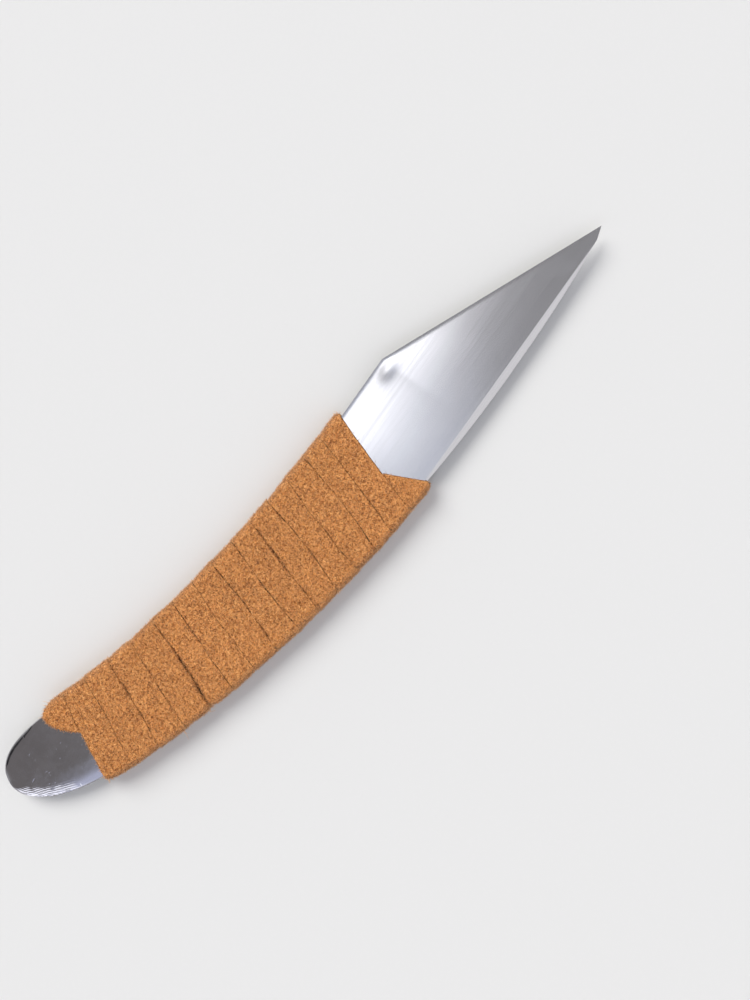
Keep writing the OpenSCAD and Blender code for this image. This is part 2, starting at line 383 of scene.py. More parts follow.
def blade_stations(plan, first_x):
    """Edge-side and spine-side plan points of each section of the blade, from first_x to the wrap."""
    last_x = plan.start[0] + 1.2 * MM
    near_tip = plan.tip[0] - 14 * MM
    fine = np.arange(first_x, near_tip, -0.3 * MM)
    to_heel = np.linspace(near_tip, plan.heel[0], 60)
    to_wrap = np.linspace(plan.heel[0], last_x, 30)[1:]
    return plan.blade_sides(np.concatenate([fine, to_heel, to_wrap]))


def tang_stations(plan, s):
    """Edge-side and spine-side plan points of each section of the tang."""
    half = plan.half_at(s)
    return plan.beside(s, half), plan.beside(s, -half)


def weld_z(plan, p):
    """Height of the wandering forge weld, which rises along the scarf to the face."""
    blade = plan.blade
    flat = FACE_Z - blade.hard_thickness
    end_x = plan.start[0] - blade.hard_reach
    rise = np.maximum(end_x - p[..., 0], 0) * tan(blade.scarf)
    shape = p.shape[:-1]
    points = raised(p, np.zeros(shape)).reshape(-1, 3)
    wave = wander(points, 5 * MM, 3) + 0.6 * wander(points, 1.9 * MM, 4)
    return np.minimum(flat + blade.weld_wave * wave.reshape(shape) + rise, FACE_Z)


def face_z(plan, p, rim_share, flat_share, across, chord):
    """Height of the blade's flat face: rim, hollow, and the slope along the spine."""
    blade = plan.blade
    t = (across - rim_share) / np.maximum(flat_share - rim_share, 1e-6) * 2 - 1
    outer = np.maximum(rim_share * 0.55 - across, 0) / np.maximum(rim_share, 1e-6)
    rim = outer * blade.rim * tan(blade.rim_slope)
    full = plan.bar.start_width - blade.rim - blade.spine_flat_width
    depth = blade.hollow_depth * np.clip(chord / full, 0, 1) * np.maximum(1 - t**2, 0)
    end_x = plan.tip[0] - blade.tip_flat - blade.hollow_end_radius
    low_y = plan.spine_flat_line(end_x)
    high_y = plan.blade_sides(np.array(end_x))[0][1]
    away = np.hypot(p[..., 0] - end_x, p[..., 1] - (low_y * 0.75 + high_y * 0.25))
    inside = np.where(p[..., 0] > end_x, blade.hollow_end_radius - away, 1)
    depth = np.minimum(depth, blade.hollow_slope * np.maximum(inside, 0))
    slope = np.maximum(plan.spine_flat_line(p[..., 0]) - p[..., 1], 0) * tan(blade.spine_flat)
    # The dip beside the heel is an oval with its middle a little towards the wrap and the spine.
    from_middle_x = (p[..., 0] - plan.heel[0] + 1.5 * MM) / (2.6 * MM)
    from_middle_y = (p[..., 1] - plan.heel[1] + 2.6 * MM) / (1.5 * MM)
    dip = blade.heel_dip * np.exp(-np.hypot(from_middle_x, from_middle_y) ** 2)
    return FACE_Z - depth - slope - rim - dip


def make_hard_steel(plan, winding):
    """The hard steel layer: the hollow flat face, its rims, and the edge's part of the bevel."""
    blade = plan.blade
    high, low = blade_stations(plan, plan.tip[0] - 0.02 * MM)
    scarf_run = blade.hard_thickness / tan(blade.scarf)
    blade_count = len(high)
    tang_s = np.linspace(0, blade.hard_reach + scarf_run, 30)
    tang = tang_stations(plan, tang_s)
    high, low = np.concatenate([high, tang[0]]), np.concatenate([low, tang[1]])
    span = np.linalg.norm(low - high, axis=1)

    # Shares of the way from the edge side to the spine side at which the face's lines lie.
    rim_y = np.where(high[:, 0] > plan.heel[0], blade.rim / cos(plan.edge_angle), blade.rim)
    rim_share = np.minimum(rim_y / span, 0.3)
    flat_share = (high[:, 1] - plan.spine_flat_line(low[:, 0])) / span
    flat_share = np.clip(flat_share, 0.6, 1)
    steps = np.linspace(0, 1, 41)[None]
    across = np.concatenate(
        [
            rim_share[:, None] * np.linspace(0, 1, 4)[None, :-1],
            rim_share[:, None] + (flat_share - rim_share)[:, None] * steps,
            flat_share[:, None] + (1 - flat_share)[:, None] * np.linspace(0, 1, 5)[None, 1:],
        ],
        1,
    )
    p = between(high, low, across)
    chord = (span * (flat_share - rim_share))[:, None]
    z = face_z(plan, p, rim_share[:, None], flat_share[:, None], across, chord)
    ground_wave = wander(raised(p, z).reshape(-1, 3), 9 * MM, 1).reshape(z.shape)
    top = raised(p, z + 0.0035 * MM * ground_wave)

    # The weld side, from the spine back to where the bevel cuts it.
    cut = plan.bevel_share(high, span, blade.hard_thickness)
    back = 1 - (1 - cut)[:, None] * np.linspace(0, 1, 12)[None]
    q = between(high, low, back)
    weld = np.maximum(weld_z(plan, q), plan.bevel_z(q))
    weld = np.minimum(weld, top[:, -1:, 2])
    under = raised(q, weld)
    lip_z = np.clip(plan.bevel_z(high), weld[:, -1], FACE_Z - 0.02 * MM)
    rings = np.concatenate([top, under, raised(high, lip_z)[:, None]], 1)
    obj = loft("hard_steel_layer", rings)
    hidden = np.zeros(rings.shape[:2])
    far = np.repeat(tang_s[:, None], across.shape[1], 1)
    hidden[blade_count:, : across.shape[1]] = winding.covered(far, across[blade_count:])
    store(obj, "hidden", hidden)
    clean(obj)
    return obj


def butt_relief(plan, s, across):
    """How far the hand-polished butt falls away from the flat towards its rim."""
    bar = plan.bar
    half = plan.half_at(s)[:, None]
    side = half * (1 - np.abs(across * 2 - 1))
    ahead = (bar.tang_length - s)[:, None] * (1 - 0.25 * (across * 2 - 1) ** 2)
    from_rim = np.minimum(side, ahead)
    # The rounding is broad on the spine side and round the end, and narrow on the edge side.
    round_end = ramp(s[:, None], 110 * MM, 116 * MM)
    broad = bar.butt_rounding * np.clip(0.03 + 1.2 * across**1.5 + 0.35 * round_end, 0, 1)
    t = np.clip(1 - from_rim / broad, 0, 1)
    drop = bar.butt_drop * (1 - np.sqrt(np.maximum(1 - 0.96 * t**2, 0)))
    dome = bar.butt_dome * np.clip(1 - from_rim / (3 * broad), 0, 1) ** 2
    # Under the wrap the bar is still flat.
    return ramp(s[:, None], 88 * MM, 96 * MM) * (drop + dome)


def make_iron_body(plan, winding):
    """The soft iron: the blade's back with its bevel, the tang and the polished butt."""
    blade, bar = plan.blade, plan.bar
    first = (blade.hard_thickness - blade.edge_land) / tan(blade.bevel) / sin(plan.edge_angle)
    high, low = blade_stations(plan, plan.tip[0] - first * 0.75)
    blade_count = len(high)
    into = np.linspace(0, pi / 2, 60)
    round_s = plan.round_from + bar.round_length * np.sin(into) ** (2 / bar.round_power)
    last_s = round_s[-1] - 0.01 * MM
    s = np.concatenate([np.linspace(0, plan.round_from, 130)[:-1], round_s[:-1], [last_s]])
    tang = tang_stations(plan, s)
    high, low = np.concatenate([high, tang[0]]), np.concatenate([low, tang[1]])
    span = np.maximum(np.linalg.norm(low - high, axis=1), 1e-6)
    edge_break = bar.edge_break

    # Top: the weld under the hard steel, then the open face of the tang and butt.
    cut = plan.bevel_share(high, span, blade.hard_thickness)
    cut[blade_count:] = 0
    spread = np.concatenate([[0, 0.004, 0.012], np.linspace(0.025, 0.975, 52), [0.988, 0.996, 1]])
    across = cut[:, None] + (1 - cut)[:, None] * spread[None]
    p = between(high, low, across)
    z = weld_z(plan, p)
    slope = np.maximum(plan.spine_flat_line(p[..., 0]) - p[..., 1], 0) * tan(blade.spine_flat)
    z[:blade_count] = np.minimum(z[:blade_count], FACE_Z - slope[:blade_count])
    z[blade_count:] -= butt_relief(plan, s, across[blade_count:])
    tang_across, tang_span = across[blade_count:], span[blade_count:, None]
    eased = np.clip(1 - tang_across * tang_span / edge_break, 0, 1)
    eased += np.clip(1 - (1 - tang_across) * tang_span / edge_break, 0, 1)
    z[blade_count:] -= edge_break * 0.8 * np.clip(eased, 0, 1) ** 2
    top = raised(p, z)

    # Underside: flat, with the bevel along the cutting edge.
    under_spread = np.concatenate([[0, 0.01], np.linspace(0.03, 0.97, 26), [0.99, 1]])
    flat_from = plan.bevel_share(high, span, FACE_Z - BASE_Z)
    flat_from[blade_count:] = 0
    under_across = flat_from[:, None] + (1 - flat_from)[:, None] * under_spread[None]
    q = between(high, low, under_across[:, ::-1])
    under_z = np.maximum(BASE_Z, plan.bevel_z(q))
    under_z[blade_count:] = BASE_Z
    rim = np.minimum(under_across[:, ::-1], 1 - under_across[:, ::-1]) * span[:, None]
    ease = edge_break * 0.8 * np.clip(1 - rim / edge_break, 0, 1) ** 2
    ease[:blade_count] *= (under_across[:blade_count, ::-1] > 0.5)
    under_z = np.minimum(under_z + ease, top[:, -1:, 2])
    under = raised(q, under_z)

    # The edge-side wall: upright on the tang, the bevel on the blade.
    wall_share = cut[:, None] + (flat_from - cut)[:, None] * np.linspace(1, 0, 8)[None, 1:-1]
    w = between(high, low, wall_share)
    even = np.linspace(0, 1, 8)[None, 1:-1]
    upright = under_z[:, -1:] + (top[:, :1, 2] - under_z[:, -1:]) * even
    on_bevel = np.clip(plan.bevel_z(w), under_z[:, -1:], top[:, :1, 2])
    is_bevel = (flat_from - cut)[:, None] * span[:, None] > 0.3 * MM
    wall = raised(w, np.where(is_bevel, on_bevel, upright))
    rings = np.concatenate([top, under, wall], 1)
    obj = loft("iron_bar", rings)
    s_all = np.concatenate([np.full(blade_count, -1.0), s])
    store_butt_map(obj, plan, rings, s_all, across)
    # The glue film stops a little inside both ends of the wrap.
    inside = np.minimum(s - 1.2 * MM, winding.wrap.wrap_length - 2 * MM - s)
    hidden = np.repeat(ramp(inside, 0, 0.5 * MM)[:, None], rings.shape[1], 1)
    far = np.repeat(s[:, None], across.shape[1], 1)
    hidden[:, : across.shape[1]] = winding.covered(far, across[blade_count:])
    store(obj, "hidden", np.concatenate([np.zeros((blade_count, rings.shape[1])), hidden]))
    clean(obj)
    return obj


def store_butt_map(obj, plan, rings, s, across):
    """Stores each point's place along the tang, distance from its rim and nearness to its spine."""
    count, size = rings.shape[:2]
    along = np.repeat(s[:, None], size, 1)
    side = np.full((count, size), 0.5)
    side[:, : across.shape[1]] = across
    half = plan.half_at(np.maximum(s, 0))[:, None]
    ahead = np.maximum(plan.bar.tang_length - s, 0)[:, None]
    rim = np.minimum(half * (1 - np.abs(side * 2 - 1)), ahead)
    for name, values in (("along", along), ("rim", rim), ("side", side)):
        store(obj, name, values)


# ---------------------------------------------------------------- suede


class WrapPlan:
    """How the suede strip winds round the tang."""

    def __init__(self, plan, wrap):
        self.plan, self.wrap = plan, wrap
        self.turns = round(wrap.wrap_length / wrap.strip_width)
        self.pitch = wrap.wrap_length / self.turns

    def lean(self, i):
        """How far seam i runs back along the tang as it crosses the face."""
        w = self.wrap
        return w.last_lean + (w.first_lean - w.last_lean) * np.exp(-i / w.lean_turns)

    def seam_high(self, i):
        """Distance along the tang at which seam i comes up the edge side."""
        return i * self.pitch + HAND_SHIFT[i % len(HAND_SHIFT)]

    def seam_low(self, i):
        """Distance along the tang at which seam i goes down the spine side."""
        return self.seam_high(i) + self.lean(i)

    def seam(self, i, over, under):
        """Distance along the tang of seam i, given the shares of the face and underside crossed."""
        bow = self.wrap.seam_bow * np.sin(pi * over) * np.sin(2.3 * i + 1)
        spots = [Vector((f * 2.1, g * 2.1, i * 3.7)) for f, g in zip(over, under)]
        wobble = self.wrap.seam_wobble * wander(spots, 0.5, 5)
        ends = np.sin(pi * np.clip(over, 0, 1)) + np.sin(pi * np.clip(under, 0, 1))
        back = self.seam_high(i + 1) - self.seam_low(i)
        return self.seam_high(i) + self.lean(i) * over + back * under + bow + wobble * (0.4 + ends)

    def gap(self, i, over, under):
        """Half the gap at seam i: ragged, wider on the face, and shut where the nap has matted over."""
        opening = SEAM_OPEN[i % len(SEAM_OPEN)]
        spots = [Vector((f * 3.3, i * 2.9, g * 3.3)) for f, g in zip(over, under)]
        if opening > 0.3 * MM:
            ragged = np.clip(0.9 + 0.8 * wander(spots, 0.45, 6), 0.3, 1.5)
            middle = ramp(over, 0.28, 0.42) * ramp(over, 1.02, 0.92)
        else:
            ragged = np.clip(0.5 + 2.6 * wander(spots, 0.45, 6), 0, 1.6)
            middle = np.sin(pi * np.clip(over * 0.9 + 0.1, 0, 1)) ** 0.7
        return (opening * ragged * (0.25 + 0.75 * middle) - self.wrap.seam_press) / 2

    def seam_at(self, i, over):
        """Distance along the tang at which seam i passes one share of the face."""
        return self.seam(i, np.array([over]), np.zeros(1))[0]

    def covered(self, s, over):
        """How surely the suede hides a spot of the tang's face, from 0 to 1."""
        w, last = self.wrap, self.turns
        shape, over = over.shape, over.reshape(-1)
        none = np.zeros(over.size)
        pointed = self.seam_at(0, w.start_point)
        past = ramp(over, w.start_point, 1)
        front = np.where(over < w.start_point, self.seam(0, over, none), pointed * (1 - past))
        pointed = self.seam_at(last, w.end_point)
        past = ramp(over, w.end_corner, w.end_point)
        corner = (self.seam_high(last) + w.end_reach) * (1 - past) + pointed * past
        back = np.where(over < w.end_point, corner, self.seam(last, over, none))
        inside = np.minimum(s.reshape(-1) - front, back - s.reshape(-1))
        return ramp(inside, 0.7 * MM, 1.1 * MM).reshape(shape)

    def turn_steps(self):
        """One turn as arrays: share of the half width, +1 face or -1 underside, outward direction,
        share of the face crossed, share of the underside crossed."""
        w = self.wrap
        marks = [w.start_point, w.end_point, w.end_corner]
        face = np.union1d(np.round(np.linspace(0, 1, 89), 6), np.round(marks, 6))
        bend = np.linspace(0, pi / 2, 8)
        rows = [(1 - 2 * f, 1, pi / 2, f, 0) for f in face]
        rows += [(-1, 1, pi / 2 + a, 1, 0) for a in bend[1:]]
        rows += [(-1, v, pi, 1, 0) for v in np.linspace(1, -1, 6)[1:-1]]
        rows += [(-1, -1, pi + a, 1, 0) for a in bend]
        rows += [(2 * g - 1, -1, 3 * pi / 2, 1, g) for g in np.linspace(0, 1, 41)[1:]]
        rows += [(1, -1, 3 * pi / 2 + a, 1, 1) for a in bend[1:]]
        rows += [(1, v, 2 * pi, 1, 1) for v in np.linspace(-1, 1, 6)[1:-1]]
        rows += [(1, 1, 2 * pi + a, 1, 1) for a in bend[:-1]]
        return np.array(rows), face

    def rows(self, i):
        """The steps of turn i; the first and the last turn cross only a part of the face."""
        steps, face = self.turn_steps()
        if i < 0:
            return steps[np.argmin(np.abs(face - self.wrap.start_point)) :]
        if i == self.turns:
            return steps[: np.argmin(np.abs(face - self.wrap.end_point)) + 1]
        return steps

    def edges(self, i, over, under, rise):
        """The strip's blade-side and butt-side edges on turn i, and how open each seam is."""
        w, last = self.wrap, self.turns
        # The half gap from which an edge is fully rounded, and what is left of that when shut.
        full_open, shut = 0.07 * MM, 0.03
        open_front = open_back = np.ones(len(over))
        reach = self.seam_high(last) + w.end_reach
        if i < 0:
            past = ramp(over, w.start_point, 1)
            point = self.seam_at(0, w.start_point) - 0.35 * MM
            front = point * (1 - past) - 0.3 * MM * past
        else:
            half_gap = self.gap(i, over, under)
            front = self.seam(i, over, under) + half_gap
            open_front = np.where((i == 0) & (over < w.start_point), 1, half_gap / full_open)
        if i < last:
            half_gap = self.gap(i + 1, over, under)
            back = self.seam(i + 1, over, under) - half_gap
            open_back = half_gap / full_open
        if i == last - 1:
            # The strip's end swings away to its corner as it comes up the edge side.
            low = self.seam_low(last)
            leaving = low + (reach - 1.6 * MM - low) * under + 1.5 * MM * rise**2
            back = np.where(over < 1, back, leaving)
            open_back = np.where(over < 1, open_back, 1)
        if i == last:
            past = ramp(over, w.end_corner, w.end_point)
            point = self.seam_at(last, w.end_point) + 0.35 * MM
            back = reach * (1 - past) + point * past + 0.8 * MM * np.sin(pi * past)
            back = back - 0.1 * MM * np.clip(1 - over / w.end_corner, 0, 1) ** 2
        back = np.maximum(back, front + 0.2 * MM)
        return front, back, np.clip(open_front, shut, 1), np.clip(open_back, shut, 1)


# Parts of the strip's section, and the kinds of its skin.
TOP, ROUNDED, WALL = 0, 1, 2
GLUED, NAP, CUT = 0, 1, 2


def strip_profile():
    """The strip's section: place across, part of the section, angle or depth share, kind of skin."""
    rows = [(0, WALL, 0.0, CUT), (0, WALL, 0.45, CUT)]
    rows += [(0, ROUNDED, a, NAP) for a in (0.15, 0.9)]
    spread = [0, 0.012, *np.linspace(0.045, 0.955, 20), 0.988, 1]
    rows += [(u, TOP, 0, NAP) for u in spread]
    rows += [(1, ROUNDED, a, NAP) for a in (0.9, 0.15)]
    rows += [(1, WALL, 0.45, CUT), (1, WALL, 0.0, CUT)]
    rows += [(u, WALL, 0.0, GLUED) for u in (0.67, 0.33)]
    return np.array(rows, float)


def strip_section(wrap, open_front, open_back):
    """Moves across and depths of the section's points at each station."""
    u, part, value, _ = (column[None] for column in strip_profile().T)
    r, thick = wrap.edge_round, wrap.thickness
    front, back = open_front[:, None], open_back[:, None]
    near = front * (1 - u) + back * u
    top_move = r * (front * (1 - u) - back * u)
    round_move = r * near * (1 - np.cos(value)) * (1 - 2 * u)
    round_deep = thick - r * near * (1 - np.sin(value))
    move = np.where(part == TOP, top_move, np.where(part == ROUNDED, round_move, 0))
    deep = np.where(part == TOP, thick, np.where(part == ROUNDED, round_deep, value * thick))
    crown = np.abs(2 * u - 1) ** 3 * near * (part != WALL)
    return move, deep, crown


def lay_turn(winding, i):
    """Turn i of the strip: rings of points, and how far each point faces aside, its nap, and its glue
    stain with painted shade.
    """
    wrap, plan, rows = winding.wrap, winding.plan, winding.rows(i)
    u, part, value, skin = (column[None] for column in strip_profile().T)
    over, under = rows[:, 3], rows[:, 4]
    rise = np.where(under < 1, 0, ramp(rows[:, 2], 3 * pi / 2, 5 * pi / 2))
    front, back, open_front, open_back = winding.edges(i, over, under, rise)
    move, deep, crown = strip_section(wrap, open_front, open_back)
    width = (back - front)[:, None]
    s = front[:, None] + width * u + move * np.clip(width / (3 * MM), 0, 1)

    n_share, level, direction = rows[:, 0:1], rows[:, 1:2], rows[:, 2:3]
    aside = np.broadcast_to(np.abs(np.cos(direction)), s.shape)
    slack = wrap.slack * sin(i * 2.4) * aside
    askew = wrap.askew * sin(i * 1.7 + 0.6) * (2 * u - 1) * aside
    outer = deep > wrap.thickness / 2
    lowered = wrap.crown * crown * (1 + 4 * aside)
    reach = wrap.side_gap + deep - lowered + (slack + askew) * outer
    n = n_share * plan.half_at(s) + reach * np.cos(direction)
    core = (FACE_Z - BASE_Z) / 2 - wrap.side_gap
    z = (BASE_Z + FACE_Z) / 2 + level * core + reach * np.sin(direction)

    # Fibres stand thickest along open cut edges, but not on the edge that faces the blade.
    at_edge = (part == ROUNDED) | ((part == TOP) & ((u == 0) | (u == 1)))
    fray = 0.7 + 1.3 * np.where(u < 0.5, open_front[:, None], open_back[:, None])
    clipped = (i < 0) | ((i == 0) & (over < wrap.start_point))
    clipped = clipped[:, None] & (u < 0.5)
    nap = np.where(at_edge, np.where(clipped, 0.1, fray), 1.0) * (skin == NAP) * (1 + 0.8 * aside)
    # Cut edges are darkened, partly by glue stain and partly as painted shade: darkest at the start's lip,
    # where the shade against the blade is painted, and less at the strip's tail.
    tail = (i == winding.turns) | ((i == winding.turns - 1) & (over >= 1))
    bare = (u > 0.5) * tail[:, None] * (0.35 + 0.5 * (value > 0.2))
    lip_stain_and_shade = (part == ROUNDED) * clipped * np.where(value < 0.5, 0.9, 0.45)
    return raised(plan.beside(s, n), z), aside, nap, (skin == CUT) * (1 - bare) + lip_stain_and_shade


def make_suede_strip(winding):
    """The suede strip, wound edge to edge, with its crowned and lumpy nap side outwards."""
    turns = [lay_turn(winding, i) for i in range(-1, winding.turns + 1)]
    rings, asides, naps, glue_stain_and_shade = (np.concatenate(part) for part in zip(*turns))
    kinds = np.repeat(strip_profile()[:, 3][None], len(rings), 0)
    lumps = suede_lumps(rings, kinds, winding.wrap) * (1 + 0.9 * asides.reshape(-1))
    obj = loft("suede_strip", rings)
    obj.data.shade_smooth()
    face_outwards(obj.data)
    press_in(obj, lumps)
    # Fibres are few on the underside, where the strip lies on what is under the knife.
    pressed = np.where(rings[..., 2] < BASE_Z - 0.6 * winding.wrap.thickness, 0.25, 1.0)
    store(obj, "nap", naps * pressed)
    # How far each point faces aside; the materials paint rim light with it.
    store(obj, "rimward", asides)
    store(obj, "cut", glue_stain_and_shade)
    return obj


def suede_lumps(rings, kinds, wrap):
    """How far each point of the nap is pressed in."""
    points = rings.reshape(-1, 3)
    rough = 0.5 + 0.5 * wander(points, 1.5 * MM, 11)
    fine = 0.5 + 0.5 * wander(points, 0.7 * MM, 12)
    broad = 0.5 + 0.5 * wander(points, 6 * MM, 13)
    kind = kinds.reshape(-1)
    deep = 0.3 * rough + 0.55 * fine + 0.25 * broad
    return wrap.lump * deep * np.where(kind == NAP, 1.0, np.where(kind == CUT, 0.35, 0.0))


def press_in(obj, depth):
    """Moves each point of a mesh inwards along its normal."""
    mesh = obj.data
    count = len(mesh.vertices)
    place, normal = np.empty(count * 3), np.empty(count * 3)
    mesh.vertices.foreach_get("co", place)
    mesh.vertex_normals.foreach_get("vector", normal)
    moved = place.reshape(-1, 3) - normal.reshape(-1, 3) * depth[:, None]
    mesh.vertices.foreach_set("co", moved.reshape(-1))
    mesh.update()


# Loose threads, in mm: distance along the tang; the root's distance beside the centreline and
# height above the face; how far along the end has moved; the end's distance, whose sign gives
# the side; and the end's height above the face.
THREADS = (
    (80.3, 12.3, 0.2, 1.0, -15.1, -1.6),
    (80.9, 12.2, 0.1, -0.7, -13.9, -0.9),
    (73.4, 12.4, 0.3, -1.3, -13.7, -0.4),
    (72.6, 12.3, 0.1, 0.9, -13.5, -1.2),
    (28.6, 13.4, 0.2, 1.2, -14.6, -0.8),
    (102.8, 11.6, 0.5, 1.5, 12.9, 0.1),
    (103.9, 11.3, 0.2, 1.3, 12.2, -0.6),
    (106.2, 9.4, 0.2, 1.6, 9.9, -0.3),
    (16.2, 13.7, 0.3, -1.2, 14.6, -0.2),
    (48.5, 12.9, 0.3, 1.1, 13.9, -0.5),
)
THREAD_RADIUS = 0.055 * MM


def seam_tufts(plan, winding):
    """Short tufts that stand out where the seams cross the narrow sides, listed like the threads."""
    chance = np.random.default_rng(21)
    tufts = []
    for i in range(winding.turns + 1):
        for side, place in ((1, winding.seam_high(i)), (-1, winding.seam_low(i))):
            half = float(plan.half_at(place)) / MM
            for _ in range(int(chance.integers(4, 10))):
                s = place / MM + chance.normal(0, 0.35)
                lift = chance.uniform(-2.6, 0.7)
                end = half + 1.7 + chance.uniform(0.1, 0.65)
                along = chance.uniform(-0.9, 0.9)
                drop = lift + chance.uniform(-0.4, 0.3)
                tufts.append((s, half + 1.2, lift, along, side * end, drop))
    return tufts


def thread_rings(plan, s, root, lift, along, end, drop):
    """Rings of points round one thread, which bends outwards and thins towards its end."""
    side = 1 if end > 0 else -1
    start = np.append(plan.beside(s * MM, side * root * MM), FACE_Z + lift * MM)
    stop = np.append(plan.beside((s + along) * MM, end * MM), FACE_Z + drop * MM)
    outwards = np.append(plan.beside(s * MM, end * MM) - start[:2], 0)
    middle = (start + stop) / 2 + np.array([0, 0, 0.5 * MM]) + 0.3 * outwards
    t = np.linspace(0, 1, 9)[:, None]
    line = (1 - t) ** 2 * start + 2 * t * (1 - t) * middle + t**2 * stop
    across = np.cross(stop - start, (0, 0, 1.0))
    across /= np.linalg.norm(across)
    turn = np.arange(5)[:, None] * 2 * pi / 5
    ring = np.cos(turn) * across + np.sin(turn) * np.array([0, 0, 1.0])
    radius = THREAD_RADIUS * (1 - 0.7 * t)
    return line[:, None] + radius[:, None] * ring[None]


def make_threads(plan, winding):
    """A few long pale threads that have worked loose from the suede's edges, and short tufts."""
    points, faces = [], []
    for thread in (*THREADS, *seam_tufts(plan, winding)):
        rings = thread_rings(plan, *thread)
        count, size = rings.shape[:2]
        index = len(points) + np.arange(count * size).reshape(count, size)
        a, b = index[:-1], index[1:]
        quads = np.stack([a, np.roll(a, -1, 1), np.roll(b, -1, 1), b], -1)
        faces += quads.reshape(-1, 4).tolist()
        faces += [index[0][::-1].tolist(), index[-1].tolist()]
        points += rings.reshape(-1, 3).tolist()
    mesh = bpy.data.meshes.new("loose_threads")
    mesh.from_pydata(points, [], faces)
    face_outwards(mesh)
    mesh.shade_smooth()
    obj = show("loose_threads", mesh)
    # The threads take the lightest tone and the full painted rim light.
    for name in ("tone", "rimward"):
        store(obj, name, np.ones(len(mesh.vertices)))
    return obj


def make_fibre(name):
    """One fibre, one unit long along Z: a thin, bent, three-sided spike."""
    mesh = bpy.data.meshes.new(name)
    levels = [(0.0, 0.05, 0.0), (0.5, 0.038, 0.06)]
    points = []
    for height, radius, lean in levels:
        points += [
            (radius * cos(a) + lean, radius * sin(a), height) for a in (0, 2 * pi / 3, 4 * pi / 3)
        ]
    points.append((0.24, 0, 1.0))
    faces = [(2, 1, 0)]
    faces += [(k, (k + 1) % 3, 3 + (k + 1) % 3, 3 + k) for k in range(3)]
    faces += [(3 + k, 3 + (k + 1) % 3, 6) for k in range(3)]
    mesh.from_pydata(points, [], faces)
    mesh.shade_smooth()
    return show(name, mesh)


def add_node(tree, kind, inputs=None, **settings):
    """Adds a node, sets its properties, and gives its inputs values or links."""
    node = tree.nodes.new(kind)
    for name, value in settings.items():
        setattr(node, name, value)
    for socket, value in (inputs or {}).items():
        if isinstance(value, bpy.types.NodeSocket):
            tree.links.new(value, node.inputs[socket])
        else:
            node.inputs[socket].default_value = value
    return node


def nap_tree(fibre, material):
    """Geometry nodes that stand fibres on the nap side of a strip, mostly lying flat."""
    tree = bpy.data.node_groups.new("suede_fibres", "GeometryNodeTree")
    face = tree.interface
    face.new_socket("Geometry", in_out="INPUT", socket_type="NodeSocketGeometry")
    density = face.new_socket("Fibres per square metre", in_out="INPUT", socket_type="NodeSocketFloat")
    fibre_length = face.new_socket("Fibre length", in_out="INPUT", socket_type="NodeSocketFloat")
    seed = face.new_socket("Seed", in_out="INPUT", socket_type="NodeSocketInt")
    face.new_socket("Geometry", in_out="OUTPUT", socket_type="NodeSocketGeometry")
    strip_in, density_in, length_in, seed_in = add_node(tree, "NodeGroupInput").outputs[:4]

    # Fibres grow only where the strip's nap is, and thicker where it is more than 1.
    nap = add_node(tree, "GeometryNodeInputNamedAttribute", {"Name": "nap"}, data_type="FLOAT")
    crowd = add_node(tree, "ShaderNodeMath", {0: density_in, 1: nap.outputs[0]}, operation="MULTIPLY")
    scatter = add_node(
        tree, "GeometryNodeDistributePointsOnFaces",
        {"Mesh": strip_in, "Density": crowd.outputs[0], "Seed": seed_in},
    )

    # Each fibre is combed over by its own angle and turned its own way round the surface.
    lay = add_node(
        tree, "FunctionNodeRandomValue",
        {0: (radians(38), 0.0, 0.0), 1: (radians(88), 0.0, 2 * pi), "Seed": seed_in},
        data_type="FLOAT_VECTOR",
    )
    angles = add_node(tree, "ShaderNodeSeparateXYZ", {0: lay.outputs[0]})
    turn = add_node(tree, "ShaderNodeCombineXYZ", {"X": angles.outputs["X"], "Z": angles.outputs["Z"]})
    spin = add_node(tree, "FunctionNodeEulerToRotation", {0: turn.outputs[0]})
    tilted = add_node(
        tree, "FunctionNodeRotateRotation",
        {0: scatter.outputs["Rotation"], 1: spin.outputs[0]}, rotation_space="LOCAL",
    )
    size = add_node(
        tree, "FunctionNodeRandomValue", {2: 0.35, 3: 1.5, "Seed": seed_in}, data_type="FLOAT"
    )
    scale = add_node(tree, "ShaderNodeMath", {0: size.outputs[1], 1: length_in}, operation="MULTIPLY")

    shape = add_node(tree, "GeometryNodeObjectInfo", {"Object": fibre})
    place = add_node(
        tree, "GeometryNodeInstanceOnPoints",
        {
            "Points": scatter.outputs["Points"],
            "Instance": shape.outputs["Geometry"],
            "Rotation": tilted.outputs[0],
            "Scale": scale.outputs[0],
        },
    )
    shade = add_node(tree, "FunctionNodeRandomValue", data_type="FLOAT")
    keep = add_node(
        tree, "GeometryNodeStoreNamedAttribute",
        {"Geometry": place.outputs[0], "Name": "tone", "Value": shade.outputs[1]},
        data_type="FLOAT", domain="INSTANCE",
    )
    real = add_node(tree, "GeometryNodeRealizeInstances", {0: keep.outputs[0]})
    painted = add_node(
        tree, "GeometryNodeSetMaterial", {"Geometry": real.outputs[0], "Material": material}
    )
    add_node(tree, "NodeGroupOutput", {0: painted.outputs[0]})
    return tree, density.identifier, fibre_length.identifier, seed.identifier


